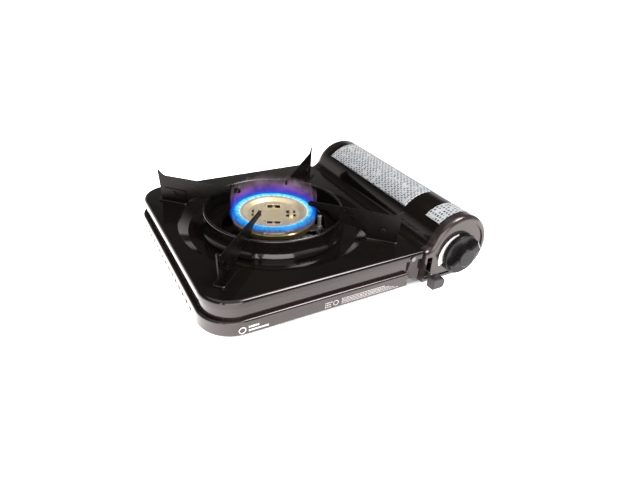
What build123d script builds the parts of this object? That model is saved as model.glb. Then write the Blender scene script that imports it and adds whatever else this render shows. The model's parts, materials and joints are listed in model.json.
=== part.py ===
from build123d import *

import os
from math import asin, cos, degrees, radians, sin, sqrt, tan

# Portable single-burner stove that runs on a canister beside the burner.
# Millimetres, +Z up, front towards -Y. The parts are drawn with the tub's middle at BODY_Y, and are
# moved at the end so that the origin is under the middle of the whole object's box, on the surface
# that the feet stand on.

# ---------------------------------------------------------------- driving dimensions

WIDTH = 342.0               # tub, left to right
DEPTH = 286.0               # tub, front to back
BODY_Y = 10.0               # the tub's middle, as drawn
SHEET = 1.0                 # pressed steel
GAP = 0.3                   # clearance between parts that don't touch

FOOT_H = 9.5
LEDGE_Z = 27.5              # top of the tub's lower wall
RIM_Z = 41.0                # lower edge of the top plate's rim
WALL_TOP_Z = 46.0
PLATE_Z = 49.0              # top plate's upper face
WALL_INSET = 5.0            # upper wall against lower wall
LEDGE_R, BOTTOM_R = 2.5, 3.0        # drawn radii of the ledge and of the bottom edge
RIM_INSET = 3.0             # top plate's rim against lower wall
TUB_CORNER_R = 38.0

SPLIT_X = 79.0              # right edge of the top plate; the lid starts beside it
HOUSING_X, HOUSING_Z, HOUSING_R = 130.0, 42.0, 41.0
FLARE_R = 12.0              # hollow curve from the plate up to the round housing
LID_SHEET = 1.0

BURNER_X, BURNER_Y = -42.0, 5.0
RECESS_R, FLOOR_R, WELL_R = 111.0, 100.0, 62.0
FLOOR_Z = 40.5              # upper face of the recess floor
RING_R, RING_TOP_Z = 80.0, 66.5
PAD_H = 2.0

FIN_T = 1.6
FIN_TIP_R, FIN_TIP_Z = 151.0, 88.0
FIN_TOP_Z = 81.5            # where a pan rests
FIN_INNER_R = 42.0
LEG_MIDDLE_R = 131.0        # middle of each leg and of the pad under it, from the burner's axis
FIN_ANGLES = {"front_left": 225, "front_right": 315, "back_left": 135, "back_right": 45}

KNOB_Z = 37.0
KNOB_DISC_R = 24.5
KNOB_TILT = 33.0            # the grip's slant at its present setting
KNOB_PROUD = 14.5           # hub's front face, ahead of the tub's front wall

CAN_Z = 45.8                # canister axis
CAN_R = 33.5

HINGE_X, HINGE_Z = 163.8, 19.5
KNUCKLE_R, HINGE_PIN_R = 2.3, 1.1
LID_EDGE_Z = 22.4

LEVER_X = 88.0
PIVOT_Y, PIVOT_Z = -91.0, 22.0
LEVER_T = 1.6
CRANK = 18.0                # pivot to the pin that drives the clamp
PIVOT_R = 2.0
RUNNING = 0.05              # radial clearance of a running fit

JET_Z = 25.0                # height of the gas pipe and the mixing tube
MIXING_R = 8.0

# ---------------------------------------------------------------- derived positions

FRONT_Y = BODY_Y - DEPTH / 2
BACK_Y = BODY_Y + DEPTH / 2
LEFT_X = -WIDTH / 2
LEVER_TAB_Y = FRONT_Y - 17.0        # foremost face of the whole object
ORIGIN_Y = (LEVER_TAB_Y + BACK_Y) / 2
TUB_Z = FOOT_H
TUB_FLOOR_Z = TUB_Z + SHEET

PANEL_DEPTH = 12.0
PANEL_BACK_Y = FRONT_Y + PANEL_DEPTH
REAR_CAP_FRONT_Y = 123.0
REAR_CAP_BACK_Y = BACK_Y - 4.0
LID_FRONT_Y = PANEL_BACK_Y + GAP
LID_BACK_Y = REAR_CAP_FRONT_Y - GAP

FLARE_Z = PLATE_Z + FLARE_R
FLARE_X = HOUSING_X - sqrt((HOUSING_R + FLARE_R) ** 2 - (FLARE_Z - HOUSING_Z) ** 2)
FLARE_END = -degrees(asin((FLARE_Z - HOUSING_Z) / (HOUSING_R + FLARE_R)))

# ---------------------------------------------------------------- helpers


def block(x0, x1, y0, y1, z0, z1):
    """Box between two opposite corners."""
    middle = Pos((x0 + x1) / 2, (y0 + y1) / 2, (z0 + z1) / 2)
    return middle * Box(x1 - x0, y1 - y0, z1 - z0)


def rod(start, end, radius):
    """Cylinder from one point to another."""
    axis = Vector(*end) - Vector(*start)
    return Solid.make_cylinder(radius, axis.length, Plane(origin=start, z_dir=axis))


def tube(start, end, outer, inner):
    """Hollow cylinder from one point to another."""
    return rod(start, end, outer) - rod(start, end, inner)


def turned(points, x, y):
    """Solid of revolution about the vertical line through x, y; points are (radius, height)."""
    outline = Polyline(*[(radius, 0, height) for radius, height in points], close=True)
    return Pos(x, y, 0) * revolve(make_face(outline), Axis.Z)


def on_circle(centre, radius, angle):
    """Point in the XZ plane at an angle on a circle."""
    return (centre[0] + radius * cos(radians(angle)), centre[1] + radius * sin(radians(angle)))


def housing_curves(inset, start_x, end_angle, y):
    """Edge of the housing's section: flat lip, hollow flare, round back, as three edges."""
    lip_z = PLATE_Z - inset
    hollow = FLARE_R + inset
    round_r = HOUSING_R - inset
    flare, axis = (FLARE_X, FLARE_Z), (HOUSING_X, HOUSING_Z)
    join_angle = 180 + FLARE_END

    def at(point):
        return (point[0], y, point[1])

    lip_end = (FLARE_X, lip_z)
    join = on_circle(flare, hollow, FLARE_END)
    hollow_mid = on_circle(flare, hollow, (FLARE_END - 90) / 2)
    round_mid = on_circle(axis, round_r, (join_angle + end_angle) / 2)
    round_end = on_circle(axis, round_r, end_angle)
    lip = Line((start_x, y, lip_z), at(lip_end))
    flare_arc = ThreePointArc(at(lip_end), at(hollow_mid), at(join))
    back_arc = ThreePointArc(at(join), at(round_mid), at(round_end))
    return [lip, flare_arc, back_arc]


def angle_at(height, radius):
    """Angle on the housing's round side, below its axis, at a height."""
    return degrees(asin((height - HOUSING_Z) / radius))


def housing_block(inset, left_x, bottom_z, y0, y1):
    """Solid of the housing's whole section between two planes."""
    end_angle = angle_at(bottom_z, HOUSING_R - inset)
    curves = housing_curves(inset, left_x, end_angle, y0)
    last = curves[-1] @ 1
    first = curves[0] @ 0
    base = Line(last, (left_x, y0, bottom_z))
    side = Line((left_x, y0, bottom_z), first)
    return extrude(make_face(curves + [base, side]), y1 - y0, dir=(0, 1, 0))


def housing_sheet(inset, sheet, start_x, edge_z, y0, y1):
    """Bent sheet that follows the housing's section down to a height on its right side."""
    outer = housing_curves(inset, start_x, angle_at(edge_z, HOUSING_R - inset), y0)
    inner_r = HOUSING_R - inset - sheet
    inner = housing_curves(inset + sheet, start_x, angle_at(edge_z, inner_r), y0)
    lip_end = Line(outer[0] @ 0, inner[0] @ 0)
    low_end = Line(outer[-1] @ 1, inner[-1] @ 1)
    return extrude(make_face(outer + inner + [lip_end, low_end]), y1 - y0, dir=(0, 1, 0))


def rounded_plan(inset, corner_r, z0, z1, top_r=0.0, bottom_r=0.0):
    """Rounded rectangular block, inset from the tub's lower wall, with rounded edges if asked."""
    plan = RectangleRounded(WIDTH - 2 * inset, DEPTH - 2 * inset, corner_r)
    shape = extrude(Pos(0, BODY_Y, z0) * plan, z1 - z0)
    if top_r:
        shape = fillet(shape.faces().sort_by(Axis.Z)[-1].edges(), top_r)
    if bottom_r:
        shape = fillet(shape.faces().sort_by(Axis.Z)[0].edges(), bottom_r)
    return shape


def turn_about_burner(shape, angle):
    """Shape drawn along +X from the burner's axis, turned to an angle."""
    return Pos(BURNER_X, BURNER_Y, 0) * Rot(0, 0, angle) * shape


# ---------------------------------------------------------------- tub

GROOVE_X, GROOVE_R = 69.0, 11.5
HINGE_STATIONS = (-85.0, 85.0)      # middle of each lid hinge, along Y
KNUCKLE_L, KNUCKLE_GAP = 10.0, 0.4
RIM_SCREW_Z, RIM_SCREW_R = 43.6, 1.5
RIM_SCREWS = ((64.0, -1), (64.0, 1), (-120.0, 1))      # x, and front or back
FOOT_PLACES = [(-140, -100), (-140, 120), (138, -100), (138, 120)]
FOOT_SCREW_R, PANEL_SCREW_R = 2.05, 1.5
PANEL_SCREW_XS = (98.0, 146.0)
PANEL_SCREW_Y = PANEL_BACK_Y + 6


def rim_screw_y(side):
    """Outer face of the rim at the front (-1) or the back (1)."""
    return BODY_Y + side * (DEPTH / 2 - RIM_INSET)


def tub_left_half():
    """Shell under the top plate: lower wall, ledge, upper wall and the groove."""
    groove_y = FRONT_Y + 3
    inner_r = TUB_CORNER_R - SHEET
    upper_r = TUB_CORNER_R - WALL_INSET
    ledge_z = LEDGE_Z - SHEET
    groove_low = (GROOVE_X, groove_y, TUB_Z)
    outer = rounded_plan(0, TUB_CORNER_R, TUB_Z, LEDGE_Z, LEDGE_R, BOTTOM_R)
    outer += rounded_plan(WALL_INSET, upper_r, ledge_z, WALL_TOP_Z)
    outer -= rod(groove_low, (GROOVE_X, groove_y, RIM_Z), GROOVE_R)
    inner = rounded_plan(SHEET, inner_r, TUB_FLOOR_Z, ledge_z, LEDGE_R - SHEET, BOTTOM_R - SHEET)
    inner += rounded_plan(WALL_INSET + SHEET, upper_r - SHEET, ledge_z - SHEET, WALL_TOP_Z)
    groove_wall = rod(groove_low, (GROOVE_X, groove_y, RIM_Z + SHEET), GROOVE_R + SHEET)
    shell = outer - (inner - groove_wall)
    shell &= block(LEFT_X, SPLIT_X + 0.5, FRONT_Y, BACK_Y, TUB_Z, WALL_TOP_Z)
    return shell - block(SPLIT_X - 2, SPLIT_X + 1, FRONT_Y, BACK_Y, RIM_Z - GAP, WALL_TOP_Z)


def tub_trough():
    """Floor and low round side under the canister."""
    wall_top = HINGE_Z - KNUCKLE_R - 0.6
    outer = housing_block(0, SPLIT_X + 0.5, TUB_Z, PANEL_BACK_Y + GAP, REAR_CAP_FRONT_Y - GAP)
    inner = housing_block(SHEET, SPLIT_X + 0.5, TUB_FLOOR_Z, PANEL_BACK_Y + GAP, REAR_CAP_FRONT_Y - GAP)
    keep = block(SPLIT_X + 0.5, HOUSING_X + HOUSING_R, FRONT_Y, BACK_Y, TUB_Z, wall_top)
    return (outer - inner) & keep


def tub_knuckles():
    """Rolled loops on the tub, either side of each lid loop, with their tongues."""
    reach = KNUCKLE_L / 2 + KNUCKLE_GAP
    loops = []
    for y in HINGE_STATIONS:
        for side in (-1, 1):
            near = y + side * reach
            far = y + side * (reach + KNUCKLE_L)
            loop = rod((HINGE_X, near, HINGE_Z), (HINGE_X, far, HINGE_Z), KNUCKLE_R)
            low, high = sorted((near, far))
            tongue = housing_sheet(0, SHEET, SPLIT_X + 0.6, 15.0, low, high)
            tongue &= block(HINGE_X - 5, HINGE_X + 2, low, high, 15.0, HINGE_Z)
            lug = rod((HINGE_X - 1.4, near, HINGE_Z - 2.6), (HINGE_X - 1.4, far, HINGE_Z - 2.6), 1.2)
            loops.append(loop + lug + tongue)
    return loops


def side_vents():
    """Row of oval holes through the left wall."""
    count, pitch, first_y = 16, 13.3, -79.0
    hole = extrude(Plane.YZ * SlotOverall(6.5, 4.0), 3 * SHEET, both=True)
    return [Pos(LEFT_X, first_y + i * pitch, TUB_Z + 7) * hole for i in range(count)]


def floor_vents():
    """Slots in the floor under the burner and under the canister."""
    slot = extrude(SlotOverall(36, 5), 3 * SHEET, both=True)
    places = [(HOUSING_X, y) for y in (-10, 20, 50, 85)]
    for across in (-60, 60):
        places += [(BURNER_X + across, BURNER_Y + along) for along in (-45, -30, 30, 45)]
    return [Pos(x, y, TUB_Z) * slot for x, y in places]


def base_tub():
    """Pressed tub: floor, walls and ledge, with holes for vents, feet, screws and hinge pins."""
    tub = tub_left_half() + tub_trough() + tub_knuckles()
    for y in HINGE_STATIONS:
        reach = KNUCKLE_L / 2 + KNUCKLE_GAP
        tub -= rod((HINGE_X, y - reach, HINGE_Z), (HINGE_X, y + reach, HINGE_Z), KNUCKLE_R + 0.6)
        reach = 1.5 * KNUCKLE_L + 0.5
        tub -= rod((HINGE_X, y - reach, HINGE_Z), (HINGE_X, y + reach, HINGE_Z), HINGE_PIN_R + RUNNING)
    tub -= side_vents()
    tub -= floor_vents()
    for x, y in FOOT_PLACES:
        tub -= rod((x, y, TUB_Z - 1), (x, y, TUB_FLOOR_Z + 1), FOOT_SCREW_R + RUNNING)
    for x in PANEL_SCREW_XS:
        low, high = (x, PANEL_SCREW_Y, TUB_Z - 1), (x, PANEL_SCREW_Y, TUB_FLOOR_Z + 1)
        tub -= rod(low, high, PANEL_SCREW_R + 2 * RUNNING)
    for x, side in RIM_SCREWS:
        y = rim_screw_y(side)
        tub -= rod((x, y - 8, RIM_SCREW_Z), (x, y + 8, RIM_SCREW_Z), RIM_SCREW_R + RUNNING)
    return tub


# ---------------------------------------------------------------- top plate


def foot_pad(sheet_in):
    """Raised pad under one leg of the pan support, drawn along +X."""
    length, width = 38.0 - 2 * sheet_in, 13.0 - 2 * sheet_in
    low_z = PLATE_Z - 2 * SHEET
    plan = Pos(LEG_MIDDLE_R, 0, low_z) * RectangleRounded(length, width, 3)
    pad = extrude(plan, PLATE_Z + PAD_H - sheet_in - low_z)
    return fillet(pad.faces().sort_by(Axis.Z)[-1].edges(), 0.8)


def top_plate():
    """Pressed top: turned-down rim, round recess, collar round the well, pads for the support."""
    corner, edge_r = TUB_CORNER_R - RIM_INSET, 4.0
    outer = rounded_plan(RIM_INSET, corner, RIM_Z, PLATE_Z, edge_r)
    inner = rounded_plan(RIM_INSET + SHEET, corner - SHEET, RIM_Z, PLATE_Z - SHEET, edge_r - SHEET)
    outer &= block(LEFT_X, SPLIT_X, FRONT_Y, BACK_Y, RIM_Z, PLATE_Z)
    inner &= block(LEFT_X, SPLIT_X - SHEET, FRONT_Y, BACK_Y, RIM_Z, PLATE_Z - SHEET)
    plate = outer - inner
    for angle in FIN_ANGLES.values():
        plate += turn_about_burner(foot_pad(0), angle)
        plate -= turn_about_burner(foot_pad(SHEET), angle)
    low = FLOOR_Z - SHEET
    lip_z = FLOOR_Z + 5
    under = PLATE_Z - SHEET
    lap_r, slant = RECESS_R + 3, 0.6
    dish = [
        (lap_r, PLATE_Z), (RECESS_R, PLATE_Z), (FLOOR_R, FLOOR_Z), (WELL_R + SHEET, FLOOR_Z),
        (WELL_R + SHEET, lip_z), (WELL_R, lip_z), (WELL_R, low), (FLOOR_R + slant, low),
        (RECESS_R + slant, under), (lap_r, under),
    ]
    plate -= rod((BURNER_X, BURNER_Y, low), (BURNER_X, BURNER_Y, PLATE_Z + PAD_H), RECESS_R)
    plate += turned(dish, BURNER_X, BURNER_Y)
    for x, side in RIM_SCREWS:
        y = rim_screw_y(side)
        plate -= rod((x, y - 4, RIM_SCREW_Z), (x, y + 4, RIM_SCREW_Z), RIM_SCREW_R + RUNNING)
    return plate


def rim_screws():
    """Pan-head screws through the rim into the tub's upper wall."""
    screws = []
    for x, side in RIM_SCREWS:
        y = rim_screw_y(side)
        face = (x, y, RIM_SCREW_Z)
        head = rod(face, (x, y + side * 1.6, RIM_SCREW_Z), 2.8)
        shank = rod((x, y - side * 6, RIM_SCREW_Z), face, RIM_SCREW_R)
        screws.append(head + shank)
    return screws


# ---------------------------------------------------------------- housing ends, shield


SLOT_W, SLOT_LOW_Z, SLOT_TOP_Z = 8.0, 15.5, 39.5       # lever slot


def curved_edges(face):
    """Arcs on a face's outline."""
    return [edge for edge in face.edges() if edge.geom_type == GeomType.CIRCLE]


def front_panel():
    """Control panel: rounded rim, face set back, lever slot and knob hole."""
    wall, rim_r, face_inset = 1.6, 5.5, 7.5
    left_x = SPLIT_X + 1
    shell = housing_block(0, left_x, TUB_Z, FRONT_Y, PANEL_BACK_Y)
    shell = fillet(curved_edges(shell.faces().sort_by(Axis.Y)[0]), rim_r)
    hollow = housing_block(wall, left_x + wall, TUB_Z + wall, FRONT_Y + 2 * wall, PANEL_BACK_Y)
    shell -= fillet(curved_edges(hollow.faces().sort_by(Axis.Y)[0]), rim_r - wall)
    shell -= housing_block(face_inset, left_x + 3, TUB_Z + 3, FRONT_Y, FRONT_Y + wall)
    slot_middle = (SLOT_LOW_Z + SLOT_TOP_Z) / 2
    slot_plan = RectangleRounded(SLOT_W, SLOT_TOP_Z - SLOT_LOW_Z, 2)
    shell -= extrude(Plane.XZ * Pos(LEVER_X, slot_middle) * slot_plan, 200)
    shell -= rod((HOUSING_X, FRONT_Y, KNOB_Z), (HOUSING_X, PANEL_BACK_Y, KNOB_Z), 5.0)
    low, high = TUB_FLOOR_Z + 0.2, TUB_FLOOR_Z + 1.8
    for x in PANEL_SCREW_XS:
        shell += block(x - 7, x + 7, PANEL_BACK_Y - 6, PANEL_BACK_Y + 12, low, high)
        shell -= rod((x, PANEL_SCREW_Y, low), (x, PANEL_SCREW_Y, high), PANEL_SCREW_R + RUNNING)
    return shell


def panel_screws():
    """Two screws up through the tub's floor into the panel's tabs."""
    y = PANEL_SCREW_Y
    screws = []
    for x in PANEL_SCREW_XS:
        head = rod((x, y, TUB_Z - 1.6), (x, y, TUB_Z), 2.8)
        screws.append(head + rod((x, y, TUB_Z), (x, y, TUB_FLOOR_Z + 4), PANEL_SCREW_R))
    return screws


def rear_cap():
    """Rounded end of the canister housing."""
    end_r, wall = 18.0, 1.2
    left_x, front_y, back_y = SPLIT_X + 1, REAR_CAP_FRONT_Y, REAR_CAP_BACK_Y
    shell = housing_block(0, left_x, TUB_Z, front_y, back_y)
    shell = fillet(curved_edges(shell.faces().sort_by(Axis.Y)[-1]), end_r)
    hollow = housing_block(wall, left_x + wall, TUB_Z + wall, front_y, back_y - wall)
    return shell - fillet(curved_edges(hollow.faces().sort_by(Axis.Y)[-1]), end_r - wall)


def heat_shield():
    """Upright sheet between the burner and the canister, with a hole for the gas pipe."""
    x0 = SPLIT_X - 3.4
    y0, y1 = FRONT_Y + 20, BACK_Y - WALL_INSET - SHEET - GAP
    wall = block(x0, x0 + SHEET, y0, y1, TUB_FLOOR_Z, PLATE_Z - SHEET - GAP)
    foot = block(x0 - 9, x0, y0 + 10, y1 - 10, TUB_FLOOR_Z, TUB_FLOOR_Z + SHEET)
    pipe_hole = rod((x0 - 1, PIPE_Y, JET_Z), (x0 + 3, PIPE_Y, JET_Z), 4.5)
    wire_hole = rod((x0 - 1, SHIELD_WIRE_Y, WIRE_Z + 1), (x0 + 3, SHIELD_WIRE_Y, WIRE_Z + 1), 3.5)
    return wall + (foot - wire_hole) - pipe_hole - wire_hole


# ---------------------------------------------------------------- burner and gas way

PIPE_Y = -79.0
JET_X = 66.0
PIPE_R, PIPE_BORE_R = 2.5, 1.6
PIPE_BEND_R = 12.0
HOLDER_L, JET_L, JET_THREAD_L = 8.0, 10.0, 3.0
BOWL_R, BOWL_LOW_Z, BOWL_TOP_Z = 49.5, 46.0, 54.5
DISC_R, DISC_Z = 38.5, 60.5
NECK_R = 17.0


def mixing_axis():
    """Unit vector from the jet towards the burner's axis."""
    return (Vector(BURNER_X, BURNER_Y, 0) - Vector(JET_X, PIPE_Y, 0)).normalized()


def along_mixing(distance):
    """Point on the mixing tube's axis, measured from the corner of the gas pipe."""
    return Vector(JET_X, PIPE_Y, JET_Z) + mixing_axis() * distance


def pipe_setback():
    """Distance from the pipe's corner to the end of its bend."""
    half_turn = radians(mixing_axis().get_angle(Vector(-1, 0, 0)) / 2)
    return PIPE_BEND_R * sin(half_turn) / cos(half_turn)


def burner_bowl():
    """Cast bowl with its neck; the gas and air enter the neck from the mixing tube."""
    foot_z, throat_z, bore_r, inner_r = 16, 38, NECK_R - 2, BOWL_R - 4
    outline = [
        (0, foot_z), (NECK_R, foot_z), (NECK_R, throat_z), (BOWL_R - 5, BOWL_LOW_Z - 1),
        (BOWL_R, BOWL_LOW_Z + 3), (BOWL_R, BOWL_TOP_Z - 1), (BOWL_R - 1, BOWL_TOP_Z),
        (inner_r, BOWL_TOP_Z), (inner_r, BOWL_LOW_Z + 3), (BOWL_R - 8, BOWL_LOW_Z + 1.5),
        (bore_r, throat_z + 2), (bore_r, foot_z + 2), (0, foot_z + 2),
    ]
    inlet = rod(along_mixing(110), along_mixing(136.8), MIXING_R - 0.5)
    return turned(outline, BURNER_X, BURNER_Y) - inlet


def port_ring():
    """Sloping ring with the flame ports cut round it."""
    ports = 48
    seat_r, low_z, disc_side = BOWL_R - 4.3, BOWL_TOP_Z - 1.5, DISC_R + 0.2
    outline = [
        (BOWL_R - 9.2, low_z), (seat_r, low_z), (seat_r, BOWL_TOP_Z), (BOWL_R - 3, BOWL_TOP_Z),
        (BOWL_R - 4, BOWL_TOP_Z + 1.5), (DISC_R + 2.8, DISC_Z), (disc_side, DISC_Z),
        (disc_side, DISC_Z - 1.2), (DISC_R + 1.2, DISC_Z - 2),
    ]
    ring = turned(outline, BURNER_X, BURNER_Y)
    cutter = block(DISC_R + 0.5, BOWL_R, -0.45, 0.45, BOWL_TOP_Z + 1.6, DISC_Z - 1)
    return ring - [turn_about_burner(cutter, i * 360 / ports) for i in range(ports)]


def burner_disc():
    """Dished disc in the middle of the burner, with four louvres round it."""
    dish_r = DISC_R - 8
    outline = [
        (0, DISC_Z - 4.2), (dish_r, DISC_Z - 3), (DISC_R - 2, DISC_Z), (DISC_R, DISC_Z),
        (DISC_R, DISC_Z - 1), (DISC_R - 1.5, DISC_Z - 1), (dish_r + 0.5, DISC_Z - 4), (0, DISC_Z - 5.2),
    ]
    disc = turned(outline, BURNER_X, BURNER_Y)
    near_r, far_r, half = 14.5, 26.0, 8.0
    slots = block(near_r, far_r, -half, half, DISC_Z - 7, DISC_Z)
    slots -= block(near_r, far_r, -1.6, 1.6, DISC_Z - 7, DISC_Z)
    bridge = block(18.5, 23, -half - 1, half + 1, DISC_Z - 3.6, DISC_Z - 0.8)
    bridge -= block(18.5, 23, 0.5 - half, half - 0.5, DISC_Z - 4, DISC_Z - 2.0)
    for angle in (65, 155, 245, 335):
        disc -= turn_about_burner(slots, angle)
        disc += turn_about_burner(bridge, angle)
    return disc


def burner_bracket():
    """Strap from the tub's floor that carries the burner."""
    half, wide, top_z, sheet = 30.0, 11.0, 15.8, 1.4
    strap = block(-half, half, -wide, wide, top_z - sheet, top_z)
    for side in (-1, 1):
        low, high = sorted((side * half, side * (half - sheet)))
        strap += block(low, high, -wide, wide, TUB_FLOOR_Z, top_z)
        low, high = sorted((side * half, side * (half + 10)))
        strap += block(low, high, -wide, wide, TUB_FLOOR_Z, TUB_FLOOR_Z + sheet)
    return Pos(BURNER_X, BURNER_Y, 0) * strap


def mixing_tube():
    """Tube from the jet to the burner's neck, with a flared mouth."""
    mouth_l, flare = 9.0, 3.0
    start = pipe_setback() + HOLDER_L + 4
    mouth_end = start + mouth_l
    end = 119.6
    mouth_plane = Plane(origin=along_mixing(start), z_dir=mixing_axis())
    mouth = Solid.make_cone(MIXING_R + flare, MIXING_R, mouth_l, mouth_plane)
    bore_r = MIXING_R - SHEET
    mouth_bore = Solid.make_cone(bore_r + flare, bore_r, mouth_l, mouth_plane)
    return (mouth - mouth_bore) + tube(along_mixing(mouth_end), along_mixing(end), MIXING_R, bore_r)


def jet_holder():
    """Brass block on the end of the gas pipe, with the jet screwed into it."""
    start = pipe_setback()
    end = start + HOLDER_L
    holder = rod(along_mixing(start), along_mixing(end), 5.0)
    holder -= rod(along_mixing(start), along_mixing(end), PIPE_BORE_R)
    return holder - rod(along_mixing(end - JET_THREAD_L), along_mixing(end), 3.0)


def gas_jet():
    start = pipe_setback() + HOLDER_L - JET_THREAD_L + 0.05
    shoulder = start + JET_THREAD_L
    jet = rod(along_mixing(start), along_mixing(shoulder), 2.95)
    jet += rod(along_mixing(shoulder), along_mixing(start + JET_L), 2.2)
    return jet - rod(along_mixing(start), along_mixing(start + JET_L), 0.5)


def gas_pipe():
    """Pipe from the regulator's elbow, with one bend, to the jet holder."""
    start = Vector(ELBOW_X, PIPE_Y, JET_Z)
    bend_start = Vector(JET_X + pipe_setback(), PIPE_Y, JET_Z)
    bend_end = along_mixing(pipe_setback())
    straight = Line(start, bend_start)
    bend = TangentArc(bend_start, bend_end, tangent=(-1, 0, 0))
    path = Wire([straight.edge(), bend.edge()])
    section = Plane(origin=start, z_dir=(-1, 0, 0))
    return sweep(section * Circle(PIPE_R), path) - sweep(section * Circle(PIPE_BORE_R), path)


# ---------------------------------------------------------------- regulator and igniter


ELBOW_X, ELBOW_Y = 113.4, -88.2
SOCKET_R, SOCKET_BORE_R = 19.0, 17.4


def regulator_body():
    """Die-cast block between the knob and the canister's nozzle, with the valve boss."""
    body = rod((HOUSING_X, -112, CAN_Z), (HOUSING_X, -88, CAN_Z), 17.0)
    body += rod((HOUSING_X, -119, KNOB_Z), (HOUSING_X, -111, KNOB_Z), 8.0)
    body += block(112, 124, -104, ELBOW_Y, 21, 44)
    body += block(HOUSING_X - 14, HOUSING_X + 4, -108, -92, TUB_FLOOR_Z, CAN_Z - 8)
    body -= rod((HOUSING_X, -120, KNOB_Z), (HOUSING_X, -103, KNOB_Z), 3.0 + RUNNING)
    body -= rod((HOUSING_X, -100, CAN_Z), (HOUSING_X, -88, CAN_Z), 5.0)
    body -= rod((HOUSING_X, -90, CAN_Z), (HOUSING_X, -88, CAN_Z), 8.0)
    return body - rod((117, -100, JET_Z), (117, ELBOW_Y, JET_Z), PIPE_BORE_R)


def pipe_elbow():
    """Brass elbow that takes the gas from the regulator's rear face to the pipe."""
    elbow = block(ELBOW_X, 120, ELBOW_Y, PIPE_Y + 4, JET_Z - 4, JET_Z + 3.8)
    elbow -= rod((117, ELBOW_Y, JET_Z), (117, PIPE_Y, JET_Z), PIPE_BORE_R)
    return elbow - rod((ELBOW_X, PIPE_Y, JET_Z), (117, PIPE_Y, JET_Z), PIPE_BORE_R)


DIAPHRAGM_Y, DIAPHRAGM_R = -103.5, 15.0


def diaphragm_cover():
    """Round cover on top of the regulator."""
    dome = rod((HOUSING_X, DIAPHRAGM_Y, 62.9), (HOUSING_X, DIAPHRAGM_Y, 66), DIAPHRAGM_R)
    dome += rod((HOUSING_X, DIAPHRAGM_Y, 66), (HOUSING_X, DIAPHRAGM_Y, 71), 9.0)
    return fillet(dome.faces().sort_by(Axis.Z)[-1].edges(), 2)


def diaphragm_base():
    """Flange under the diaphragm cover, standing on the regulator."""
    flange = rod((HOUSING_X, DIAPHRAGM_Y, 59.5), (HOUSING_X, DIAPHRAGM_Y, 62.8), DIAPHRAGM_R)
    neck = block(HOUSING_X - 8, HOUSING_X + 8, -108, -92, 55, 60)
    return (flange + neck) - rod((HOUSING_X, -120, CAN_Z), (HOUSING_X, -87, CAN_Z), 17.05)


def diaphragm_screws():
    screws = []
    for angle in (45, 135, 225, 315):
        x = HOUSING_X + 12 * cos(radians(angle))
        y = DIAPHRAGM_Y + 12 * sin(radians(angle))
        screws.append(rod((x, y, 66.05), (x, y, 67.6), 2.2))
    return screws


def canister_socket():
    """Ring that takes the canister's collar."""
    ring = tube((HOUSING_X, -87.9, CAN_Z), (HOUSING_X, -80, CAN_Z), SOCKET_R, SOCKET_BORE_R)
    back = tube((HOUSING_X, -87.9, CAN_Z), (HOUSING_X, -86.5, CAN_Z), SOCKET_BORE_R + 0.1, 8.2)
    pin_low, pin_high = CAN_Z + 13, CAN_Z + SOCKET_BORE_R + 0.2
    notch_pin = block(HOUSING_X - 1.5, HOUSING_X + 1.5, -86.6, -81, pin_low, pin_high)
    return ring + back + notch_pin


def nozzle_seal():
    return Pos(HOUSING_X, -89, CAN_Z) * Rot(90, 0, 0) * (Cylinder(7.9, 1.8) - Cylinder(5.2, 1.8))


PIEZO_X0, PIEZO_X1, PIEZO_Y0, PIEZO_Y1 = 112.6, 121.0, -128.6, -120.2
PIEZO_LOW_Z, PIEZO_TOP_Z = 12.9, KNOB_Z - 6.5
PLUNGER_TOP_Z = KNOB_Z - 2.2


def piezo_igniter():
    """Piezo unit under the cam on the knob's spindle."""
    case = block(PIEZO_X0, PIEZO_X1, PIEZO_Y0, PIEZO_Y1, PIEZO_LOW_Z, PIEZO_TOP_Z)
    return fillet(case.edges().filter_by(Axis.Z), 1.5)


def piezo_plunger():
    """Button that the cam's nose presses at the end of the knob's turn."""
    x, y = 117.3, (PIEZO_Y0 + PIEZO_Y1) / 2
    return rod((x, y, PIEZO_TOP_Z + 0.05), (x, y, PLUNGER_TOP_Z), 2.0)


def piezo_bracket():
    """Folded clip that holds the piezo unit to the panel."""
    sheet, gap = 1.5, 0.1
    left_x, low_z = PIEZO_X0 - gap - sheet, PIEZO_LOW_Z - gap - sheet
    base = block(left_x, PIEZO_X1, PIEZO_Y0, PIEZO_Y1, low_z, low_z + sheet)
    return base + block(left_x, left_x + sheet, PIEZO_Y0, PIEZO_Y1, low_z, 27)


ELECTRODE_ANGLE, ELECTRODE_R = -20.0, 55.5
BRACKET_Z = 35.5


def electrode_place():
    """Foot of the electrode beside the burner bowl."""
    x = BURNER_X + ELECTRODE_R * cos(radians(ELECTRODE_ANGLE))
    y = BURNER_Y + ELECTRODE_R * sin(radians(ELECTRODE_ANGLE))
    return x, y


def electrode_insulator():
    x, y = electrode_place()
    body = rod((x, y, 24), (x, y, 52), 2.4) + rod((x, y, BRACKET_Z), (x, y, BRACKET_Z + 3), 3.4)
    return body - rod((x, y, 24), (x, y, 52), 0.75)


def igniter_electrode():
    """Steel wire through the insulator, its tip bent over the flame ports."""
    x, y = electrode_place()
    lean = Vector(BURNER_X - x, BURNER_Y - y, 0).normalized() * 5.5
    tip = (x + lean.X, y + lean.Y, 62)
    return rod((x, y, 22), (x, y, 57), 0.7) + Pos(x, y, 57) * Sphere(0.7) + rod((x, y, 57), tip, 0.7)


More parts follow.
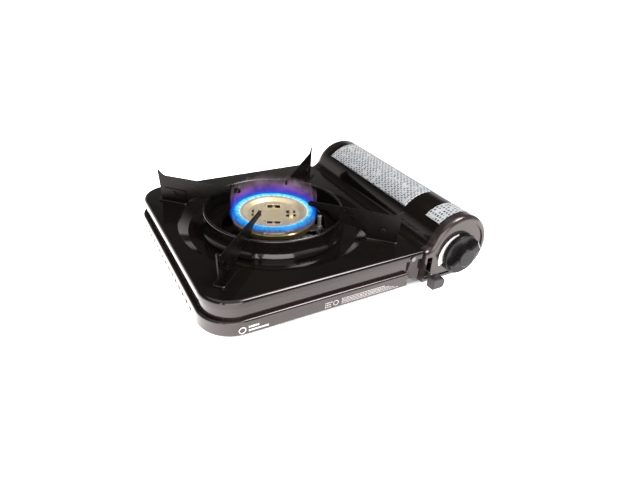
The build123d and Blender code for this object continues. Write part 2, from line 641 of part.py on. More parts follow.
def electrode_bracket():
    """Post and arm that hold the insulator beside the burner."""
    sheet = 1.5
    outer_r = ELECTRODE_R + 6
    arm = block(NECK_R + 0.3, outer_r, -5, 5, BRACKET_Z - sheet, BRACKET_Z)
    post = block(outer_r - sheet, outer_r, -3, 3, TUB_FLOOR_Z, BRACKET_Z)
    x, y = electrode_place()
    hole = rod((x, y, BRACKET_Z - 2 * sheet), (x, y, BRACKET_Z + sheet), 2.45)
    return turn_about_burner(arm + post, ELECTRODE_ANGLE) - hole


WIRE_R = 1.2
WIRE_Z = 13.2
SHIELD_WIRE_Y = -50.5
WIRE_ROUTE = [
    (117.0, -119.5, 17.5), (114.0, -113.5, 16.0), (105.5, -104.0, WIRE_Z + 0.6),
    (101.5, -86.0, WIRE_Z), (94.0, -64.0, WIRE_Z), (76.0, SHIELD_WIRE_Y, WIRE_Z),
    (50.0, -46.0, WIRE_Z + 0.2), (26.0, -35.0, WIRE_Z), (11.5, -23.0, WIRE_Z + 1.2),
    (10.15, -14.5, 20.0),
]


# ---------------------------------------------------------------- canister supports


def canister_cradle():
    """Two saddle ribs that the canister lies in."""
    ribs = []
    for y in (-30.0, 70.0):
        rib = block(HOUSING_X - 26, HOUSING_X + 20, y - 1, y + 1, TUB_FLOOR_Z, 24)
        rib += block(HOUSING_X - 26, HOUSING_X + 20, y - 6, y + 1, TUB_FLOOR_Z, TUB_FLOOR_Z + 1)
        rib -= rod((HOUSING_X, y - 8, CAN_Z), (HOUSING_X, y + 8, CAN_Z), CAN_R)
        ribs.append(rib)
    return ribs


def rear_stop():
    """Sprung sheet that the canister's foot bears on."""
    foot = block(112, 148, 103, 117, TUB_FLOOR_Z, TUB_FLOOR_Z + 1.2)
    return foot + block(112, 148, 103, 104.2, TUB_FLOOR_Z, 62)


def hinge_pins():
    """One pin through the three loops of each lid hinge."""
    reach = 1.5 * KNUCKLE_L + 0.2
    pins = []
    for y in HINGE_STATIONS:
        pins.append(rod((HINGE_X, y - reach, HINGE_Z), (HINGE_X, y + reach, HINGE_Z), HINGE_PIN_R))
    return pins


def feet():
    """Four rubber feet."""
    parts = []
    for x, y in FOOT_PLACES:
        foot = Pos(x, y, FOOT_H / 2) * Cone(9.5, 11.5, FOOT_H)
        foot -= rod((x, y, 0), (x, y, 4.5), 4.5)
        foot -= rod((x, y, 4), (x, y, FOOT_H), FOOT_SCREW_R + RUNNING)
        parts.append(foot)
    return parts


def foot_screws():
    """Screws up through the feet into the tub's floor, their heads inside the feet."""
    screws = []
    for x, y in FOOT_PLACES:
        shank = rod((x, y, 4.5), (x, y, TUB_FLOOR_Z + 3), FOOT_SCREW_R)
        screws.append(rod((x, y, 2.4), (x, y, 4.5), 3.8) + shank)
    return screws


# ---------------------------------------------------------------- lock lever and clamp


def yz_plate(points, x0, x1):
    """Flat plate from an outline in the YZ plane."""
    outline = Polyline(*[(x0, y, z) for y, z in points], close=True)
    return extrude(make_face(outline), x1 - x0, dir=(1, 0, 0))


TAB_BACK_Y = FRONT_Y - 6.0
ARM_END = [     # the arm's outer end, cranked down inside the tab, as (y, z)
    (TAB_BACK_Y + 2, 16), (TAB_BACK_Y - 2, 11), (LEVER_TAB_Y + 2, 11), (LEVER_TAB_Y + 2, 19.5),
    (TAB_BACK_Y - 2, 19.5), (TAB_BACK_Y + 2, 21.5),
]


def lever_arm():
    """Bell crank: long arm out through the slot, short arm up to the clamp's pin."""
    x0, x1 = LEVER_X - LEVER_T / 2, LEVER_X + LEVER_T / 2
    outline = ARM_END + [
        (PIVOT_Y - 14, 22), (PIVOT_Y - 8, 28), (PIVOT_Y - 5, 43), (PIVOT_Y - 3, 45), (PIVOT_Y + 3, 45),
        (PIVOT_Y + 5, 43), (PIVOT_Y + 6, 20), (PIVOT_Y, 16),
    ]
    arm = yz_plate(outline, x0, x1)
    arm -= rod((x0, PIVOT_Y, PIVOT_Z), (x1, PIVOT_Y, PIVOT_Z), PIVOT_R + RUNNING)
    return arm - rod((x0, PIVOT_Y, PIVOT_Z + CRANK), (x1, PIVOT_Y, PIVOT_Z + CRANK), 1.75)


def crank_pin():
    """Riveted pin on the short arm that runs in the clamp's slot."""
    z = PIVOT_Z + CRANK
    return rod((LEVER_X - 2, PIVOT_Y, z), (95.0, PIVOT_Y, z), 1.7)


def lever_tab():
    """Plastic finger tab moulded over the arm's end, two corners cut off."""
    x0, x1, z0, z1 = 82.5, 98.5, 8.4, 21.4
    tab = block(x0, x1, LEVER_TAB_Y, TAB_BACK_Y, z0, z1)
    right = tab.edges().filter_by(Axis.Y).group_by(Axis.X)[-1]
    tab = chamfer(right, 3.0)
    tab = fillet(tab.faces().sort_by(Axis.Y)[0].edges(), 0.8)
    return tab - yz_plate(ARM_END, LEVER_X - LEVER_T / 2, LEVER_X + LEVER_T / 2)


def lever_bracket():
    """Fork that carries the lever's pivot."""
    y0, y1 = PIVOT_Y - 8, PIVOT_Y + 8
    sheet = 1.2
    ears = [block(x, x + sheet, y0 + 2, y1 - 2, TUB_FLOOR_Z, PIVOT_Z + 4.5) for x in (84.4, 90.4)]
    fork = block(82, 95, y0, y1, TUB_FLOOR_Z, TUB_FLOOR_Z + sheet) + ears
    return fork - rod((80, PIVOT_Y, PIVOT_Z), (97, PIVOT_Y, PIVOT_Z), PIVOT_R + RUNNING)


def lever_pivot():
    """Headed pin through the fork and the lever."""
    shaft = rod((83.6, PIVOT_Y, PIVOT_Z), (92.4, PIVOT_Y, PIVOT_Z), PIVOT_R)
    return shaft + rod((82.4, PIVOT_Y, PIVOT_Z), (83.8, PIVOT_Y, PIVOT_Z), 3.2)


CLAMP_Y = -72.0             # rear face of the clamp's yoke, locked
CLAMP_X0, CLAMP_X1 = 92.6, 94.2
STUD_XS = (113.0, 147.0)
STUD_Y = -66.0


def clamp_slide():
    """Yoke that draws the canister's collar forward, with the bar that the crank pin drives.

    Each foot has a track for a stud, and the yoke is notched to clear the studs' heads."""
    pin_z = PIVOT_Z + CRANK
    bar = block(CLAMP_X0, CLAMP_X1, -98, CLAMP_Y, 33, 46)
    slot = Pos(0, PIVOT_Y, pin_z - 0.4) * Box(300, 4.0, 6.5)
    bar -= slot
    yoke = block(CLAMP_X0, 160, CLAMP_Y - 1.6, CLAMP_Y, 11.2, 46)
    yoke &= rod((HOUSING_X, CLAMP_Y - 2, HOUSING_Z), (HOUSING_X, CLAMP_Y, HOUSING_Z), 38.6)
    yoke -= rod((HOUSING_X, CLAMP_Y - 2, CAN_Z), (HOUSING_X, CLAMP_Y, CAN_Z), SOCKET_R + 1)
    feet_pair = [block(x - 7, x + 7, CLAMP_Y - 1.6, CLAMP_Y + 13, 11.2, 12.6) for x in STUD_XS]
    shape = bar + yoke + feet_pair
    for x in STUD_XS:
        shape -= extrude(Pos(x, STUD_Y - 3, 10) * Rot(0, 0, 90) * SlotOverall(13.0, 5.0), 4)
        shape -= block(x - 5, x + 5, CLAMP_Y - 2, CLAMP_Y + 0.1, 12.7, 15)
    return shape


def clamp_studs():
    """Shoulder rivets that guide the clamp on the floor."""
    head_z, top_z = 13.0, 14.2
    studs = []
    for x in STUD_XS:
        shank = rod((x, STUD_Y, TUB_FLOOR_Z), (x, STUD_Y, head_z), 2.2)
        studs.append(shank + rod((x, STUD_Y, head_z), (x, STUD_Y, top_z), 4.2))
    return studs


# ---------------------------------------------------------------- knob


def knob():
    """Base disc, hub and bar grip."""
    disc_back, disc_front, front = FRONT_Y - 0.3, FRONT_Y - 6.0, FRONT_Y - KNOB_PROUD
    disc = rod((HOUSING_X, disc_back, KNOB_Z), (HOUSING_X, disc_front, KNOB_Z), KNOB_DISC_R)
    disc = fillet(disc.edges().group_by(Axis.Y)[0], 1.5)
    hub = rod((HOUSING_X, disc_front, KNOB_Z), (HOUSING_X, front, KNOB_Z), 11.5)
    hub = fillet(hub.edges().group_by(Axis.Y)[0], 1.5)
    bar = block(-22.0, 22.0, front + 1.0, disc_front, -6.0, 6.0)
    bar = chamfer(bar.edges().filter_by(Axis.Z).group_by(Axis.Y)[0], 3.0)
    bar = chamfer(bar.edges().filter_by(Axis.X).group_by(Axis.Y)[0], 1.6)
    bar = Pos(HOUSING_X, 0, KNOB_Z) * Rot(0, -KNOB_TILT, 0) * bar
    shape = disc + hub + bar
    bore = rod((HOUSING_X, FRONT_Y + 2, KNOB_Z), (HOUSING_X, front + 6, KNOB_Z), 3.0 + RUNNING)
    collar = rod((HOUSING_X, disc_back, KNOB_Z), (HOUSING_X, FRONT_Y + 0.9, KNOB_Z), 4.5)
    return shape + collar - bore


def knob_spindle():
    """Valve spindle, from inside the knob to inside the regulator's boss."""
    return rod((HOUSING_X, FRONT_Y - KNOB_PROUD + 6.2, KNOB_Z), (HOUSING_X, -103.5, KNOB_Z), 3.0)


def igniter_cam():
    """Disc with a nose that presses the piezo plunger at the end of the knob's turn."""
    y0, y1 = -127.0, -121.5
    cam = rod((HOUSING_X, y0, KNOB_Z), (HOUSING_X, y1, KNOB_Z), 10.0)
    nose = rod((HOUSING_X - 9, y0, KNOB_Z + 4), (HOUSING_X - 9, y1, KNOB_Z + 4), 4.0)
    return cam + nose - rod((HOUSING_X, y0, KNOB_Z), (HOUSING_X, y1, KNOB_Z), 3.0 + RUNNING)


# ---------------------------------------------------------------- lid


def canister_lid():
    """Hinged cover over the canister, with its two hinge loops."""
    lid = housing_sheet(0, LID_SHEET, SPLIT_X + 0.6, LID_EDGE_Z, LID_FRONT_Y, LID_BACK_Y)
    for y in HINGE_STATIONS:
        y0, y1 = y - KNUCKLE_L / 2, y + KNUCKLE_L / 2
        tongue = housing_sheet(0, LID_SHEET, SPLIT_X + 0.6, HINGE_Z, y0, y1)
        tongue &= block(HINGE_X - 3, HINGE_X + 5, y0, y1, HINGE_Z, LID_EDGE_Z + 0.5)
        lid += rod((HINGE_X, y0, HINGE_Z), (HINGE_X, y1, HINGE_Z), KNUCKLE_R) + tongue
        lid -= rod((HINGE_X, y0, HINGE_Z), (HINGE_X, y1, HINGE_Z), HINGE_PIN_R + RUNNING)
    return lid


def lid_sticker(y0, y1, low_angle, high_angle):
    """Thin sticker that follows the lid's round back between two angles."""
    thick = 0.2
    inner_r = HOUSING_R + 0.02
    band = tube((HOUSING_X, y0, HOUSING_Z), (HOUSING_X, y1, HOUSING_Z), inner_r + thick, inner_r)
    wedge = []
    for angle in (low_angle, high_angle):
        x, z = on_circle((HOUSING_X, HOUSING_Z), 60, angle)
        wedge.append((x, y0, z))
    sector = make_face(Polyline((HOUSING_X, y0, HOUSING_Z), *wedge, close=True))
    return band & extrude(sector, y1 - y0, dir=(0, 1, 0))


# ---------------------------------------------------------------- pan support


def wind_ring():
    """Ring round the burner: rolled rim, upright wall, flared skirt, and a notch for each fin."""
    low, top = FLOOR_Z + 0.1, RING_TOP_Z
    inner, outer = RING_R - 0.8, RING_R + 0.2
    lip_r, lip_z, bead_z = RING_R + 2.4, top - 2.8, top - 1.4
    flare_z, skirt_z, skirt_r = 53.5, 43.5, outer + 4.0
    lip_inner, lip_under, skirt_inner = lip_r - SHEET, top - 1.8, skirt_r - SHEET

    def at(radius, height):
        return (radius, 0, height)

    outline = [
        Line(at(inner, flare_z), at(inner, bead_z)),
        ThreePointArc(at(inner, bead_z), at(RING_R + 0.8, top), at(lip_r, bead_z)),
        Polyline(
            at(lip_r, bead_z), at(lip_r, lip_z), at(lip_inner, lip_z), at(lip_inner, lip_under),
            at(outer, lip_under), at(outer, flare_z),
        ),
        ThreePointArc(at(outer, flare_z), at(outer + 1.0, 48.0), at(skirt_r, skirt_z)),
        Polyline(at(skirt_r, skirt_z), at(skirt_r, low), at(skirt_inner, low), at(skirt_inner, skirt_z)),
        ThreePointArc(at(skirt_inner, skirt_z), at(inner + 1.0, 47.8), at(inner, flare_z)),
    ]
    ring = Pos(BURNER_X, BURNER_Y, 0) * revolve(make_face(outline), Axis.Z)
    side = FIN_T / 2 + 0.02
    notch = block(RING_R - 3, RING_R + 4, -side, side, top - 6.5, top + 1)
    return ring - [turn_about_burner(notch, angle) for angle in FIN_ANGLES.values()]


LEG_Z = PLATE_Z + PAD_H + 0.1
RIVET_R, RIVET_Z = 2.0, 60.0
CLIP_T = 1.2


def fin(angle):
    """Upright blade: arm towards the burner, leg down to the plate, swept-up tip."""
    leg_in, leg_out = 112.0, 148.0

    def at(radius, height):
        return (radius, 0, height)

    nose_low = at(FIN_INNER_R + 1, 75.8)
    nose_top = at(FIN_INNER_R + 3, FIN_TOP_Z)
    arm_low = at(FIN_INNER_R + 23, 73.2)
    in_notch = at(RING_R - 4, RING_TOP_Z - 5.9)
    arm_end = at(98.0, RING_TOP_Z - 7)
    leg_corner = at(leg_in, LEG_Z + 1.5)
    tip_out, tip_in = at(FIN_TIP_R, FIN_TIP_Z - 1), at(FIN_TIP_R - 2, FIN_TIP_Z - 1)
    rest_end = at(138.0, FIN_TOP_Z)
    outline = [
        Polyline(nose_low, arm_low, in_notch, arm_end),
        ThreePointArc(arm_end, at(106.0, 57.0), leg_corner),
        Polyline(leg_corner, at(leg_in + 1.5, LEG_Z), at(leg_out, LEG_Z), tip_out),
        ThreePointArc(tip_out, at(FIN_TIP_R - 1, FIN_TIP_Z), tip_in),
        ThreePointArc(tip_in, at(145.5, 83.2), rest_end),
        Line(rest_end, nose_top),
        ThreePointArc(nose_top, at(FIN_INNER_R, 78.5), nose_low),
    ]
    blade = extrude(make_face(outline), FIN_T / 2, both=True, dir=(0, 1, 0))
    blade -= rod((LEG_MIDDLE_R, -2, RIVET_Z), (LEG_MIDDLE_R, 2, RIVET_Z), RIVET_R + 0.02)
    return turn_about_burner(blade, angle)


def fin_feet():
    """Bent clip riveted to each leg, its flange on the raised pad."""
    side = FIN_T / 2
    upright = block(114, 146, side, side + CLIP_T, LEG_Z, 66)
    upright = fillet(upright.edges().filter_by(Axis.Y).group_by(Axis.Z)[-1], 4)
    flange = block(114, 146, side, side + 5.0, LEG_Z, LEG_Z + CLIP_T)
    hole = rod((LEG_MIDDLE_R, 0, RIVET_Z), (LEG_MIDDLE_R, 4, RIVET_Z), RIVET_R + 0.02)
    clip = upright + flange - hole
    return [turn_about_burner(clip, angle) for angle in FIN_ANGLES.values()]


def fin_rivets():
    """One dome-headed rivet through each leg and its clip."""
    near, far = -FIN_T / 2, FIN_T / 2 + CLIP_T

    def at(y):
        return (LEG_MIDDLE_R, y, RIVET_Z)

    shank = rod(at(near), at(far), RIVET_R)
    head = rod(at(near - 1.6), at(near), 4.5)
    head = fillet(head.edges().group_by(Axis.Y)[0], 1.2)
    tail = rod(at(far), at(far + 1.2), 3.6)
    rivet = shank + head + tail
    return [turn_about_burner(rivet, angle) for angle in FIN_ANGLES.values()]


# ---------------------------------------------------------------- igniter wire


def rounded_route(points):
    """Straight runs joined by tangent arcs, each arc as large as its two runs allow."""
    points = [Vector(*point) for point in points]
    edges = []
    previous = points[0]
    for before, corner, after in zip(points, points[1:], points[2:]):
        inward, outward = corner - before, after - corner
        cut = 0.45 * min(inward.length, outward.length)
        half_turn = radians(inward.get_angle(outward)) / 2
        print(f"igniter wire: arc radius {cut / tan(half_turn):.1f} mm")
        start = corner - inward.normalized() * cut
        end = corner + outward.normalized() * cut
        edges.append(Line(previous, start).edge())
        edges.append(TangentArc(start, end, tangent=inward.normalized()).edge())
        previous = end
    edges.append(Line(previous, points[-1]).edge())
    return Wire(edges)


def igniter_wire():
    """Insulated lead from the piezo unit to the electrode's foot."""
    path = rounded_route(WIRE_ROUTE)
    return sweep(Plane(origin=path @ 0, z_dir=path % 0) * Circle(WIRE_R), path)


# ---------------------------------------------------------------- all parts


def parts():
    """Every node's name and shape."""
    named = {
        "base_tub": base_tub(), "top_plate": top_plate(), "rim_screws": rim_screws(),
        "front_panel": front_panel(), "panel_screws": panel_screws(), "rear_cap": rear_cap(),
        "heat_shield": heat_shield(), "feet": feet(), "foot_screws": foot_screws(),
        "burner_bowl": burner_bowl(), "port_ring": port_ring(), "burner_disc": burner_disc(),
        "burner_bracket": burner_bracket(), "mixing_tube": mixing_tube(), "jet_holder": jet_holder(),
        "gas_jet": gas_jet(), "gas_pipe": gas_pipe(), "pipe_elbow": pipe_elbow(),
        "regulator_body": regulator_body(), "diaphragm_base": diaphragm_base(),
        "diaphragm_cover": diaphragm_cover(), "diaphragm_screws": diaphragm_screws(),
        "canister_socket": canister_socket(), "nozzle_seal": nozzle_seal(),
        "piezo_igniter": piezo_igniter(), "piezo_plunger": piezo_plunger(),
        "piezo_bracket": piezo_bracket(),
        "igniter_wire": igniter_wire(), "electrode_insulator": electrode_insulator(),
        "igniter_electrode": igniter_electrode(), "electrode_bracket": electrode_bracket(),
        "canister_cradle": canister_cradle(), "rear_stop": rear_stop(), "hinge_pins": hinge_pins(),
        "lever_bracket": lever_bracket(), "lever_pivot": lever_pivot(), "clamp_studs": clamp_studs(),
        "lever_arm": lever_arm(), "crank_pin": crank_pin(), "lever_tab": lever_tab(),
        "clamp_slide": clamp_slide(),
        "knob": knob(), "knob_spindle": knob_spindle(), "igniter_cam": igniter_cam(),
        "canister_lid": canister_lid(), "long_sticker": lid_sticker(-63, 115, 78, 137),
        "short_sticker": lid_sticker(-120, -95, 70, 130),
        "wind_ring": wind_ring(), "fin_feet": fin_feet(), "fin_rivets": fin_rivets(),
    }
    for place, angle in FIN_ANGLES.items():
        named["fin_" + place] = fin(angle)
    return named


def main():
    """Write one STEP for each node, moved so that the origin is under the object's middle."""
    os.makedirs("parts", exist_ok=True)
    to_origin = Pos(0, -ORIGIN_Y, 0)
    for name, shape in parts().items():
        if isinstance(shape, list):
            shape = Compound(children=[Compound((to_origin * piece).solids()) for piece in shape])
        else:
            shape = to_origin * shape
        export_step(shape, f"parts/{name}.step")


main()
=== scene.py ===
import json
import math
import random

import bmesh
import bpy
from mathutils import Matrix, Vector


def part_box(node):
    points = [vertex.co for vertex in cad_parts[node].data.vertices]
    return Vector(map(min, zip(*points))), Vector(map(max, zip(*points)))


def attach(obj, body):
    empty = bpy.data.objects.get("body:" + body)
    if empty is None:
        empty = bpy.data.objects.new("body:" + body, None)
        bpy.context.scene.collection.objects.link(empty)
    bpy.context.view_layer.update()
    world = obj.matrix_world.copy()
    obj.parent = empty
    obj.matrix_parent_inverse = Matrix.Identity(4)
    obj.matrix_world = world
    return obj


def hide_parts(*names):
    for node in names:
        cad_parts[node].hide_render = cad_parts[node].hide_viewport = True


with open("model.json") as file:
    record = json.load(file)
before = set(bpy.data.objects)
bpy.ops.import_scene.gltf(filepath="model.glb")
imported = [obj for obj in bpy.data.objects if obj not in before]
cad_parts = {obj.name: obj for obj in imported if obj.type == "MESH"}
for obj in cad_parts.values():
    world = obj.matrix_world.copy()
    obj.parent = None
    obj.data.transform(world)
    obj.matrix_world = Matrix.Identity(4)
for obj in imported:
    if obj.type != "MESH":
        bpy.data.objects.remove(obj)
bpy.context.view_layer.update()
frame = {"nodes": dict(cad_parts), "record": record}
MM = 0.001


# ---------------------------------------------------------------- places read from the model


def middle(node):
    """Middle of a node's box."""
    low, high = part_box(node)
    return (low + high) / 2


BURNER = middle("port_ring").xy
PORT_TOP_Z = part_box("port_ring")[1].z
DISC_R = (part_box("burner_disc")[1].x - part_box("burner_disc")[0].x) / 2
SPINDLE = middle("knob_spindle")
LID_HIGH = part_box("canister_lid")[1]
HOUSING_X = SPINDLE.x
HOUSING_R = LID_HIGH.x - HOUSING_X
HOUSING_Z = LID_HIGH.z - HOUSING_R
TUB_LOW, TUB_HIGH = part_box("base_tub")
TUB_CORNER_R = 38 * MM


# ---------------------------------------------------------------- node helpers


def new_material(name):
    """Material, its node tree and its Principled shader."""
    material = bpy.data.materials.new(name)
    material.use_nodes = True
    tree = material.node_tree
    return material, tree, tree.nodes["Principled BSDF"]


def noise_of(tree, scale, detail=4.0, rough=0.55, stretch=None):
    """Noise in the row frame, in metres, with an optional stretch along the axes."""
    place = tree.nodes.new("ShaderNodeTexCoord")
    noise = tree.nodes.new("ShaderNodeTexNoise")
    noise.inputs["Scale"].default_value = scale
    noise.inputs["Detail"].default_value = detail
    noise.inputs["Roughness"].default_value = rough
    source = place.outputs["Object"]
    if stretch is not None:
        mapping = tree.nodes.new("ShaderNodeMapping")
        mapping.inputs["Scale"].default_value = stretch
        tree.links.new(source, mapping.inputs["Vector"])
        source = mapping.outputs["Vector"]
    tree.links.new(source, noise.inputs["Vector"])
    return noise.outputs["Fac"]


def spread(tree, source, low, high, start=0.3, end=0.7):
    """Value from low to high as the source goes from start to end."""
    ranged = tree.nodes.new("ShaderNodeMapRange")
    ranged.inputs["From Min"].default_value = start
    ranged.inputs["From Max"].default_value = end
    ranged.inputs["To Min"].default_value = low
    ranged.inputs["To Max"].default_value = high
    tree.links.new(source, ranged.inputs["Value"])
    return ranged.outputs["Result"]


def ramp_of(tree, source, stops):
    """Colour ramp with stops of (position, colour)."""
    ramp = tree.nodes.new("ShaderNodeValToRGB")
    elements = ramp.color_ramp.elements
    while len(elements) < len(stops):
        elements.new(0.5)
    for element, (position, colour) in zip(elements, stops):
        element.position = position
        element.color = (*colour, 1.0)
    tree.links.new(source, ramp.inputs["Fac"])
    return ramp.outputs["Color"]


def multiply(tree, first, second):
    """Product of two values."""
    product = tree.nodes.new("ShaderNodeMath")
    product.operation = "MULTIPLY"
    tree.links.new(first, product.inputs[0])
    tree.links.new(second, product.inputs[1])
    return product.outputs["Value"]


def vector_step(tree, source, operation, operand=None):
    """Vector math node on a source, with a constant operand where the operation takes one."""
    node = tree.nodes.new("ShaderNodeVectorMath")
    node.operation = operation
    tree.links.new(source, node.inputs[0])
    if operand is not None:
        node.inputs[1].default_value = operand
    return node


def mix_colours(tree, factor, first, second, blend="MIX"):
    """Colour mixed from two; the factor is a number or a value of the tree."""
    mixed = tree.nodes.new("ShaderNodeMix")
    mixed.data_type = "RGBA"
    mixed.blend_type = blend
    if isinstance(factor, float):
        mixed.inputs["Factor"].default_value = factor
    else:
        tree.links.new(factor, mixed.inputs["Factor"])
    tree.links.new(first, mixed.inputs["A"])
    tree.links.new(second, mixed.inputs["B"])
    return mixed.outputs["Result"]


def add_bump(tree, shader, height, strength, distance):
    """Bump from a height."""
    bump = tree.nodes.new("ShaderNodeBump")
    bump.inputs["Strength"].default_value = strength
    bump.inputs["Distance"].default_value = distance
    tree.links.new(height, bump.inputs["Height"])
    tree.links.new(bump.outputs["Normal"], shader.inputs["Normal"])


# ---------------------------------------------------------------- materials

BROWN_TINT = (1.0, 0.90, 0.88)


def enamel(name, colour, dark, rough, ior):
    """Glossy stove enamel: slight colour drift, uneven gloss and orange peel."""
    material, tree, shader = new_material(name)
    shader.inputs["IOR"].default_value = ior
    shader.inputs["Specular Tint"].default_value = (*BROWN_TINT, 1.0)
    drift = noise_of(tree, 14, 3)
    tree.links.new(ramp_of(tree, drift, [(0.35, dark), (0.65, colour)]), shader.inputs["Base Color"])
    gloss = noise_of(tree, 55, 6, 0.7)
    tree.links.new(spread(tree, gloss, rough * 0.75, rough * 1.35), shader.inputs["Roughness"])
    add_bump(tree, shader, noise_of(tree, 420, 2), 0.05, 0.4 * MM)
    return material


def sheet_metal(name, colour, dark, rough, stretch):
    """Plated or cast metal: streaks along the rolling direction and uneven gloss."""
    material, tree, shader = new_material(name)
    shader.inputs["Metallic"].default_value = 1.0
    streaks = noise_of(tree, 60, 5, 0.6, stretch)
    tree.links.new(ramp_of(tree, streaks, [(0.3, dark), (0.7, colour)]), shader.inputs["Base Color"])
    tree.links.new(spread(tree, streaks, rough * 0.7, rough * 1.4), shader.inputs["Roughness"])
    add_bump(tree, shader, noise_of(tree, 900, 4, 0.6, stretch), 0.12, 0.2 * MM)
    return material


def moulded(name, colour, dark, rough, grain_scale, grain, gloss=0.5):
    """Plastic, rubber, ceramic or ink: fine grain, faint colour drift, rubbed patches."""
    material, tree, shader = new_material(name)
    drift = noise_of(tree, 30, 4)
    tree.links.new(ramp_of(tree, drift, [(0.35, dark), (0.65, colour)]), shader.inputs["Base Color"])
    rubbed = noise_of(tree, 90, 5, 0.65)
    tree.links.new(spread(tree, rubbed, rough * 0.8, min(1.0, rough * 1.2)), shader.inputs["Roughness"])
    add_bump(tree, shader, noise_of(tree, grain_scale, 3), grain, 0.2 * MM)
    shader.inputs["Specular IOR Level"].default_value = gloss
    return material


def burner_gold(name):
    """Pale satin gold on the disc, darker and more polished gold on the bowl round it."""
    material, tree, shader = new_material(name)
    shader.inputs["Metallic"].default_value = 0.75
    place = tree.nodes.new("ShaderNodeTexCoord")
    flat = vector_step(tree, place.outputs["Object"], "MULTIPLY", (1, 1, 0))
    reach = vector_step(tree, flat.outputs["Vector"], "DISTANCE", (BURNER.x, BURNER.y, 0))
    outside = spread(tree, reach.outputs["Value"], 0.0, 1.0, DISC_R - 0.4 * MM, DISC_R + 3 * MM)
    tone = noise_of(tree, 60, 4, 0.6)
    pale = ramp_of(tree, tone, [(0.3, (0.56, 0.47, 0.29)), (0.7, (0.68, 0.60, 0.41))])
    dark = ramp_of(tree, tone, [(0.3, (0.15, 0.105, 0.045)), (0.7, (0.27, 0.20, 0.09))])
    tree.links.new(mix_colours(tree, outside, pale, dark), shader.inputs["Base Color"])
    tree.links.new(spread(tree, outside, 0.40, 0.14), shader.inputs["Roughness"])
    add_bump(tree, shader, tone, 0.05, 0.3 * MM)
    return material


SLOTS = {     # maker, then colour, darker colour, roughness and the rest of what the maker takes
    "black_enamel": (enamel, (0.0048, 0.0036, 0.0030), (0.0034, 0.0026, 0.0022), 0.09, 1.50),
    "brown_paint": (enamel, (0.014, 0.0095, 0.0090), (0.010, 0.007, 0.0068), 0.12, 1.52),
    "panel_paint": (enamel, (0.022, 0.0155, 0.015), (0.016, 0.0115, 0.011), 0.15, 1.52),
    "ring_enamel": (enamel, (0.0042, 0.0034, 0.0030), (0.003, 0.0025, 0.0022), 0.11, 1.52),
    "fin_enamel": (enamel, (0.0030, 0.0024, 0.0021), (0.0020, 0.0016, 0.0014), 0.30, 1.24),
    "gold_burner": (burner_gold,),
    "brass_fitting": (sheet_metal, (0.80, 0.58, 0.25), (0.62, 0.42, 0.16), 0.28, (1, 1, 6)),
    "zinc_sheet": (sheet_metal, (0.16, 0.16, 0.165), (0.09, 0.09, 0.10), 0.45, (1, 7, 1)),
    "bright_steel": (sheet_metal, (0.20, 0.195, 0.195), (0.13, 0.125, 0.13), 0.24, (1, 1, 8)),
    "tube_steel": (sheet_metal, (0.68, 0.67, 0.64), (0.50, 0.49, 0.47), 0.38, (5, 1, 1)),
    "die_cast": (sheet_metal, (0.56, 0.56, 0.58), (0.42, 0.42, 0.44), 0.48, (1, 1, 1)),
    "knob_plastic": (moulded, (0.008, 0.007, 0.007), (0.005, 0.0045, 0.0045), 0.28, 1500, 0.1, 0.16),
    "lever_plastic": (moulded, (0.018, 0.012, 0.013), (0.012, 0.008, 0.009), 0.3, 1500, 0.1, 0.3),
    "igniter_plastic": (moulded, (0.74, 0.70, 0.62), (0.66, 0.62, 0.54), 0.45, 1200, 0.15),
    "foot_rubber": (moulded, (0.022, 0.022, 0.023), (0.014, 0.014, 0.015), 0.72, 700, 0.5),
    "seal_rubber": (moulded, (0.018, 0.018, 0.018), (0.010, 0.010, 0.010), 0.6, 900, 0.3),
    "wire_cover": (moulded, (0.55, 0.05, 0.03), (0.40, 0.03, 0.02), 0.5, 900, 0.3),
    "insulator_white": (moulded, (0.34, 0.31, 0.27), (0.16, 0.13, 0.11), 0.4, 400, 0.08),
}


def paint_cad_nodes():
    """Every CAD node takes the material of its slot, but for the stickers, which are replaced."""
    materials = {slot: maker(slot, *look) for slot, (maker, *look) in SLOTS.items()}
    for part in frame["record"]["subparts"]:
        material = materials.get(part["material_slot"])
        if material is None:
            continue
        mesh = frame["nodes"][part["node"]].data
        mesh.materials.clear()
        mesh.materials.append(material)


paint_cad_nodes()


# ---------------------------------------------------------------- mesh helpers


def add_object(name, bm, material, smooth=True):
    """Object from a bmesh, with one material."""
    mesh = bpy.data.meshes.new(name)
    bm.to_mesh(mesh)
    bm.free()
    mesh.materials.append(material)
    for polygon in mesh.polygons:
        polygon.use_smooth = smooth
    made = bpy.data.objects.new(name, mesh)
    bpy.context.scene.collection.objects.link(made)
    return made


def skin_of_rows(rows):
    """Quad skin over rows of points, with a UV map from 0 to 1 along rows and columns."""
    bm = bmesh.new()
    grid = [[bm.verts.new(point) for point in row] for row in rows]
    layer = bm.loops.layers.uv.verify()
    last_row, last_column = len(rows) - 1, len(rows[0]) - 1
    for i in range(last_row):
        for j in range(last_column):
            places = ((i, j), (i, j + 1), (i + 1, j + 1), (i + 1, j))
            face = bm.faces.new([grid[a][b] for a, b in places])
            for loop, (a, b) in zip(face.loops, places):
                loop[layer].uv = (a / last_row, b / last_column)
    return bm


def thicken(made, thickness, offset):
    """Solidify modifier; offset -1 goes under the surface and 0 to both sides."""
    solid = made.modifiers.new("thickness", "SOLIDIFY")
    solid.thickness = thickness
    solid.offset = offset


# ---------------------------------------------------------------- stickers on the lid


